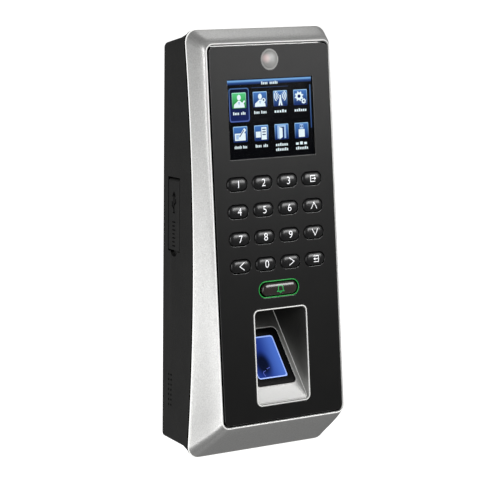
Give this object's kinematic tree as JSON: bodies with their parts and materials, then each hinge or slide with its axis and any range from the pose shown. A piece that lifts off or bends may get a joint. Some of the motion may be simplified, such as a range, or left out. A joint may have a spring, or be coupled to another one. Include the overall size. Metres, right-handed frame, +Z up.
{
  "type": "fingerprint scanner terminal",
  "caption": "Wall-mounted fingerprint terminal with a tilted front panel, colour screen, keypad, bell button and a sloping finger recess with an optical sensor.",
  "frame": {"origin": "middle of the four wall-screw holes, on the back face of the wall plate", "axes": "+Z up, -Y out of the wall towards the user, +X to the right as seen from the front"},
  "size_m": [0.0824, 0.0471, 0.2036],
  "materials": {
    "housing_plastic": "fine black texture",
    "silver_paint": "satin silver with a fine metallic grain",
    "panel_plastic": "matte black",
    "seal_foam": "matte",
    "window_glass": "clear and polished",
    "display_image": "lit colour display",
    "steel": "plain zinc-plated steel",
    "lens_plastic": "smoked translucent plastic",
    "led_resin": "clear resin",
    "key_plastic": "glossy black with white legends",
    "ring_plastic": "green light guide",
    "silicone": "translucent grey silicone",
    "circuit_board": "green solder mask",
    "sensor_plastic": "black",
    "sensor_glass": "blue-lit optical glass",
    "relay_plastic": "moulded",
    "connector_plastic": "natural nylon"
  },
  "bodies": {
    "case": {"back_plate": "steel", "bell_light_ring": "ring_plastic", "bezel_frame": "silver_paint", "board_cable": "connector_plastic", "card_antenna": "circuit_board", "case_screws": "steel", "coin_cell": "steel", "cover_pin": "steel", "finger_guide": "silver_paint", "front_board": "circuit_board", "front_board_screws": "steel", "front_panel": "panel_plastic", "keypad_membrane": "silicone", "lcd_frame": "steel", "lcd_panel": "display_image", "lock_relay": "relay_plastic", "main_board": "circuit_board", "main_board_screws": "steel", "panel_seal": "seal_foam", "plate_screw": "steel", "rear_housing": "housing_plastic", "reset_switch": "key_plastic", "screen_window": "window_glass", "sensor_board": "circuit_board", "sensor_body": "sensor_plastic", "sensor_frame": "sensor_plastic", "sensor_window": "sensor_glass", "speaker": "sensor_plastic", "status_led": "led_resin", "status_lens": "lens_plastic", "tamper_switch": "key_plastic", "usb_socket": "steel", "wiring_headers": "connector_plastic"},
    "key_1": {"key_1": "key_plastic"},
    "key_2": {"key_2": "key_plastic"},
    "key_3": {"key_3": "key_plastic"},
    "key_exit": {"key_exit": "key_plastic"},
    "key_4": {"key_4": "key_plastic"},
    "key_5": {"key_5": "key_plastic"},
    "key_6": {"key_6": "key_plastic"},
    "key_up": {"key_up": "key_plastic"},
    "key_7": {"key_7": "key_plastic"},
    "key_8": {"key_8": "key_plastic"},
    "key_9": {"key_9": "key_plastic"},
    "key_down": {"key_down": "key_plastic"},
    "key_left": {"key_left": "key_plastic"},
    "key_0": {"key_0": "key_plastic"},
    "key_right": {"key_right": "key_plastic"},
    "key_menu": {"key_menu": "key_plastic"},
    "bell_button": {"bell_button": "key_plastic"},
    "side_cover": {"side_cover": "housing_plastic"},
    "reset_button": {"reset_button": "connector_plastic"},
    "tamper_button": {"tamper_button": "connector_plastic"}
  },
  "joints": [
    {"name": "key_1_press", "type": "slide", "parent": "case", "child": "key_1", "axis": [0, 0.9957, -0.0924], "range_m": [0, 0.0007], "stiffness_N_per_m": 600},
    {"name": "key_2_press", "type": "slide", "parent": "case", "child": "key_2", "axis": [0, 0.9957, -0.0924], "range_m": [0, 0.0007], "stiffness_N_per_m": 600},
    {"name": "key_3_press", "type": "slide", "parent": "case", "child": "key_3", "axis": [0, 0.9957, -0.0924], "range_m": [0, 0.0007], "stiffness_N_per_m": 600},
    {"name": "key_exit_press", "type": "slide", "parent": "case", "child": "key_exit", "axis": [0, 0.9957, -0.0924], "range_m": [0, 0.0007], "stiffness_N_per_m": 600},
    {"name": "key_4_press", "type": "slide", "parent": "case", "child": "key_4", "axis": [0, 0.9957, -0.0924], "range_m": [0, 0.0007], "stiffness_N_per_m": 600},
    {"name": "key_5_press", "type": "slide", "parent": "case", "child": "key_5", "axis": [0, 0.9957, -0.0924], "range_m": [0, 0.0007], "stiffness_N_per_m": 600},
    {"name": "key_6_press", "type": "slide", "parent": "case", "child": "key_6", "axis": [0, 0.9957, -0.0924], "range_m": [0, 0.0007], "stiffness_N_per_m": 600},
    {"name": "key_up_press", "type": "slide", "parent": "case", "child": "key_up", "axis": [0, 0.9957, -0.0924], "range_m": [0, 0.0007], "stiffness_N_per_m": 600},
    {"name": "key_7_press", "type": "slide", "parent": "case", "child": "key_7", "axis": [0, 0.9957, -0.0924], "range_m": [0, 0.0007], "stiffness_N_per_m": 600},
    {"name": "key_8_press", "type": "slide", "parent": "case", "child": "key_8", "axis": [0, 0.9957, -0.0924], "range_m": [0, 0.0007], "stiffness_N_per_m": 600},
    {"name": "key_9_press", "type": "slide", "parent": "case", "child": "key_9", "axis": [0, 0.9957, -0.0924], "range_m": [0, 0.0007], "stiffness_N_per_m": 600},
    {"name": "key_down_press", "type": "slide", "parent": "case", "child": "key_down", "axis": [0, 0.9957, -0.0924], "range_m": [0, 0.0007], "stiffness_N_per_m": 600},
    {"name": "key_left_press", "type": "slide", "parent": "case", "child": "key_left", "axis": [0, 0.9957, -0.0924], "range_m": [0, 0.0007], "stiffness_N_per_m": 600},
    {"name": "key_0_press", "type": "slide", "parent": "case", "child": "key_0", "axis": [0, 0.9957, -0.0924], "range_m": [0, 0.0007], "stiffness_N_per_m": 600},
    {"name": "key_right_press", "type": "slide", "parent": "case", "child": "key_right", "axis": [0, 0.9957, -0.0924], "range_m": [0, 0.0007], "stiffness_N_per_m": 600},
    {"name": "key_menu_press", "type": "slide", "parent": "case", "child": "key_menu", "axis": [0, 0.9957, -0.0924], "range_m": [0, 0.0007], "stiffness_N_per_m": 600},
    {"name": "bell_press", "type": "slide", "parent": "case", "child": "bell_button", "axis": [0, 0.9957, -0.0924], "range_m": [0, 0.0007], "stiffness_N_per_m": 600},
    {"name": "reset_press", "type": "slide", "parent": "case", "child": "reset_button", "axis": [1, 0, 0], "range_m": [0, 0.0005], "stiffness_N_per_m": 500},
    {"name": "tamper_press", "type": "slide", "parent": "case", "child": "tamper_button", "axis": [0, -1, 0], "range_m": [0, 0.0006], "stiffness_N_per_m": 500},
    {"name": "side_cover_hinge", "type": "hinge", "parent": "case", "child": "side_cover", "pos_m": [-0.03735, -0.0094, 0.0294], "axis": [0, 1, 0], "range_deg": [0, 90]}
  ]
}
